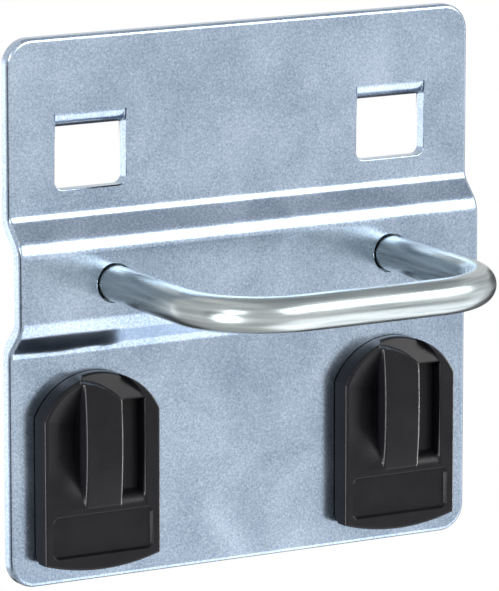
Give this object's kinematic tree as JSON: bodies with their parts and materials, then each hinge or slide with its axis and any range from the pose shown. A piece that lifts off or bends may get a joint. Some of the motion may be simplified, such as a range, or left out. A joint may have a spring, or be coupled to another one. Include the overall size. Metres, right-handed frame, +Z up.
{
  "type": "pegboard tool hook",
  "caption": "Folded zinc-plated sheet hook with lanced tabs for square-hole panels, a riveted wire loop to hang a tool in and black turn locks that fix it to the panel.",
  "frame": {"origin": "midway between the two tabs, on the line where they rest in the panel's holes, at the panel's face", "axes": "+Z up along the panel, -Y out to the front, +X to the right seen from the front"},
  "size_m": [0.0582, 0.0346, 0.0605],
  "materials": {
    "zinc_sheet": "satin blue-white zinc plating with a fine mottled grain",
    "zinc_wire": "bright zinc plating over drawn wire",
    "black_moulding": "satin black moulding"
  },
  "bodies": {
    "hook": {"hook_plate": "zinc_sheet", "wire_loop": "zinc_wire"},
    "lock_left": {"turn_lock_left": "black_moulding"},
    "lock_right": {"turn_lock_right": "black_moulding"}
  },
  "joints": [
    {"name": "lock_left_turn", "type": "hinge", "parent": "hook", "child": "lock_left", "pos_m": [-0.019, 0, -0.0347], "axis": [0, -1, 0], "range_deg": [0, 90]},
    {"name": "lock_right_turn", "type": "hinge", "parent": "hook", "child": "lock_right", "pos_m": [0.019, 0, -0.0347], "axis": [0, -1, 0], "range_deg": [0, 90]}
  ]
}
